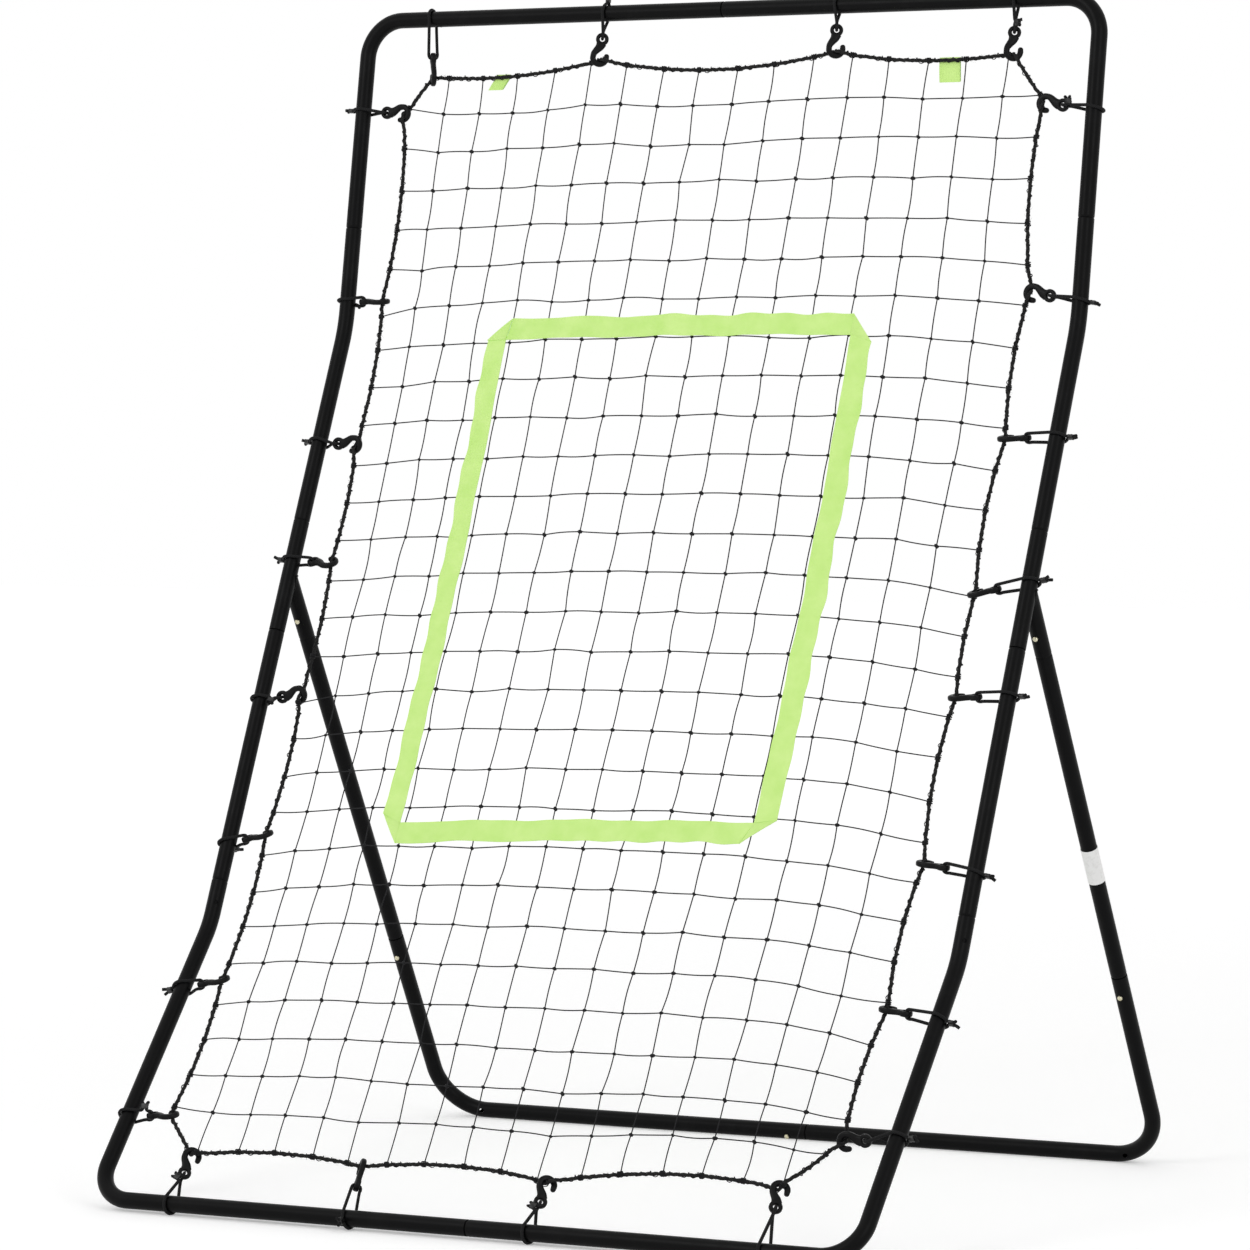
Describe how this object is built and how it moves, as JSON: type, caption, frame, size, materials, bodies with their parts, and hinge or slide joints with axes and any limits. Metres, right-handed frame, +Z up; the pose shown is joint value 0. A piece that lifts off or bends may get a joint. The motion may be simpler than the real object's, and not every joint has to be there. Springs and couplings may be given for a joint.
{
  "type": "soccer rebound net",
  "caption": "Freestanding ball rebounder: a knotted net held by elastic hooks in a bent tube frame that leans back on a plug-in rear stand, with a ribbon target on the net.",
  "frame": {"origin": "on the floor under the middle of the front bar, level with the underside of the elastic loops that the bar stands on", "axes": "+Z up, +X to the right of someone who faces the net from the ball's side, +Y from the front floor bar towards the rear stand"},
  "size_m": [1.024, 0.7938, 1.3758],
  "materials": {
    "tube_paint": "black powder coat, satin",
    "zinc_button": "zinc plated spring steel",
    "label": "white film, blank",
    "net_twine": "black knotted twine",
    "border_rope": "black braided rope",
    "ribbon": "yellow-green woven ribbon",
    "elastic_cord": "black sheathed elastic with moulded black hook"
  },
  "bodies": {
    "rebound_frame": {"top_corner_tube_left": "tube_paint", "upper_side_tube_left": "tube_paint", "stand_socket_left": "tube_paint", "lower_side_tube_left": "tube_paint", "bottom_corner_tube_left": "tube_paint", "upper_leg_tube_left": "tube_paint", "lower_leg_tube_left": "tube_paint", "top_corner_tube_right": "tube_paint", "upper_side_tube_right": "tube_paint", "stand_socket_right": "tube_paint", "lower_side_tube_right": "tube_paint", "bottom_corner_tube_right": "tube_paint", "upper_leg_tube_right": "tube_paint", "lower_leg_tube_right": "tube_paint", "blank_label": "label", "net_lower_panel": "net_twine", "net_middle_panel": "net_twine", "net_upper_panel": "net_twine", "border_rope": "border_rope", "target_strap": "ribbon", "top_tab_left": "ribbon", "top_tab_right": "ribbon", "elastic_hook_left_1": "elastic_cord", "elastic_hook_left_2": "elastic_cord", "elastic_hook_left_3": "elastic_cord", "elastic_hook_left_4": "elastic_cord", "elastic_hook_left_5": "elastic_cord", "elastic_hook_left_6": "elastic_cord", "elastic_hook_left_7": "elastic_cord", "elastic_hook_left_8": "elastic_cord", "elastic_hook_right_1": "elastic_cord", "elastic_hook_right_2": "elastic_cord", "elastic_hook_right_3": "elastic_cord", "elastic_hook_right_4": "elastic_cord", "elastic_hook_right_5": "elastic_cord", "elastic_hook_right_6": "elastic_cord", "elastic_hook_right_7": "elastic_cord", "elastic_hook_right_8": "elastic_cord", "elastic_hook_top_1": "elastic_cord", "elastic_hook_top_2": "elastic_cord", "elastic_hook_top_3": "elastic_cord", "elastic_hook_top_4": "elastic_cord", "elastic_hook_bottom_1": "elastic_cord", "elastic_hook_bottom_2": "elastic_cord", "elastic_hook_bottom_3": "elastic_cord", "elastic_hook_bottom_4": "elastic_cord"},
    "leg_top_left_clip": {"snap_clip_leg_top_left": "zinc_button"},
    "leg_top_right_clip": {"snap_clip_leg_top_right": "zinc_button"},
    "leg_middle_left_clip": {"snap_clip_leg_middle_left": "zinc_button"},
    "leg_middle_right_clip": {"snap_clip_leg_middle_right": "zinc_button"},
    "crossbar_clip": {"snap_clip_crossbar": "zinc_button"}
  },
  "joints": [
    {"name": "leg_top_left_button_press", "type": "slide", "parent": "rebound_frame", "child": "leg_top_left_clip", "axis": [0, 0.9012, 0.4333], "range_m": [0, 0.0037], "stiffness_N_per_m": 1500, "springref_m": -0.002},
    {"name": "leg_top_right_button_press", "type": "slide", "parent": "rebound_frame", "child": "leg_top_right_clip", "axis": [0, 0.9012, 0.4333], "range_m": [0, 0.0037], "stiffness_N_per_m": 1500, "springref_m": -0.002},
    {"name": "leg_middle_left_button_press", "type": "slide", "parent": "rebound_frame", "child": "leg_middle_left_clip", "axis": [0, 0.9012, 0.4333], "range_m": [0, 0.0037], "stiffness_N_per_m": 1500, "springref_m": -0.002},
    {"name": "leg_middle_right_button_press", "type": "slide", "parent": "rebound_frame", "child": "leg_middle_right_clip", "axis": [0, 0.9012, 0.4333], "range_m": [0, 0.0037], "stiffness_N_per_m": 1500, "springref_m": -0.002},
    {"name": "crossbar_button_press", "type": "slide", "parent": "rebound_frame", "child": "crossbar_clip", "axis": [0, 0.809, 0.5878], "range_m": [0, 0.0037], "stiffness_N_per_m": 1500, "springref_m": -0.002}
  ]
}
